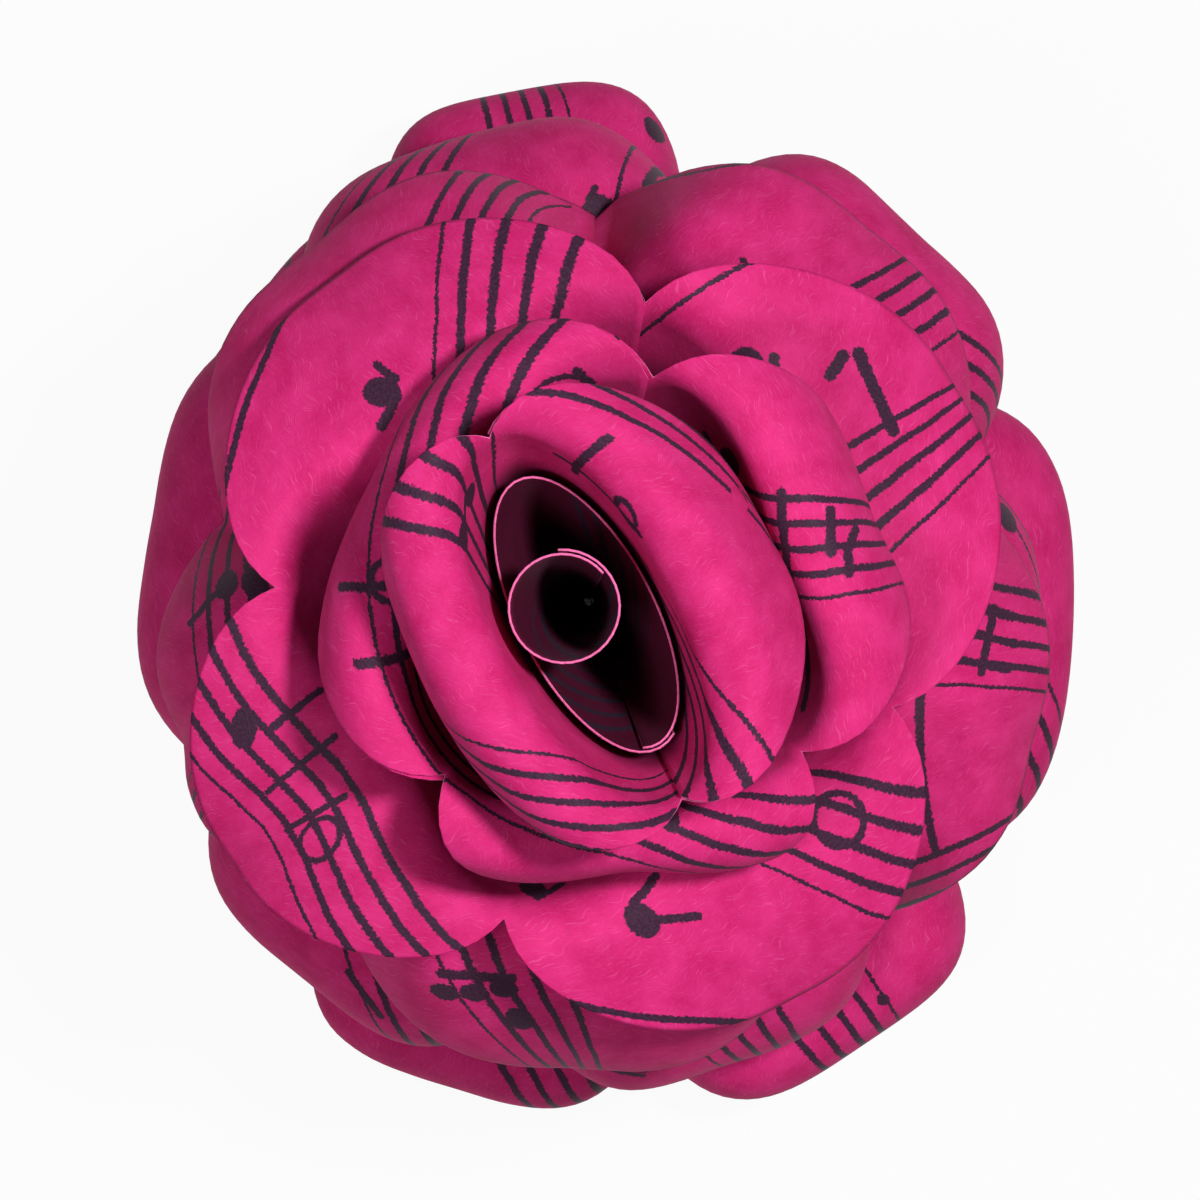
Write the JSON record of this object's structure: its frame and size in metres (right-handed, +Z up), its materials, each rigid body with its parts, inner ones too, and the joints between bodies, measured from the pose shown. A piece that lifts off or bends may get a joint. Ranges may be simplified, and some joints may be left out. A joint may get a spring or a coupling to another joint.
{
  "type": "paper flower",
  "caption": "Large layered flower of rolled and curled printed card cones nested round a small centre roll, lying face up.",
  "frame": {"origin": "middle of the flat glue face in the cut tip of the outermost cone, on which the flower rests", "axes": "+Z up through the middle of the flower towards its open face; +X and +Y across it, +Y towards the top of the seen face"},
  "size_m": [0.1921, 0.2126, 0.1949],
  "materials": {
    "seven_petal_cone": "matt dyed handmade card with dark printed music staves",
    "six_petal_cone": "matt dyed handmade card with dark printed music staves",
    "five_petal_cone": "matt dyed handmade card with dark printed music staves",
    "four_petal_cone": "matt dyed handmade card with dark printed music staves",
    "three_petal_cone": "matt dyed handmade card with dark printed music staves",
    "two_petal_cone": "matt dyed handmade card with dark printed music staves",
    "inner_cone": "matt dyed handmade card with dark printed music staves",
    "centre_roll": "matt dyed handmade card with dark printed music staves",
    "glue": "cloudy hot-melt glue"
  },
  "bodies": {
    "root": {"seven_petal_cone": "seven_petal_cone", "six_petal_cone": "six_petal_cone", "five_petal_cone": "five_petal_cone", "four_petal_cone": "four_petal_cone", "three_petal_cone": "three_petal_cone", "two_petal_cone": "two_petal_cone", "inner_cone": "inner_cone", "centre_roll": "centre_roll", "glue_in_seven_petal_cone": "glue", "glue_in_six_petal_cone": "glue", "glue_in_five_petal_cone": "glue", "glue_in_four_petal_cone": "glue", "glue_in_three_petal_cone": "glue", "glue_in_two_petal_cone": "glue", "glue_in_inner_cone": "glue"}
  },
  "joints": []
}
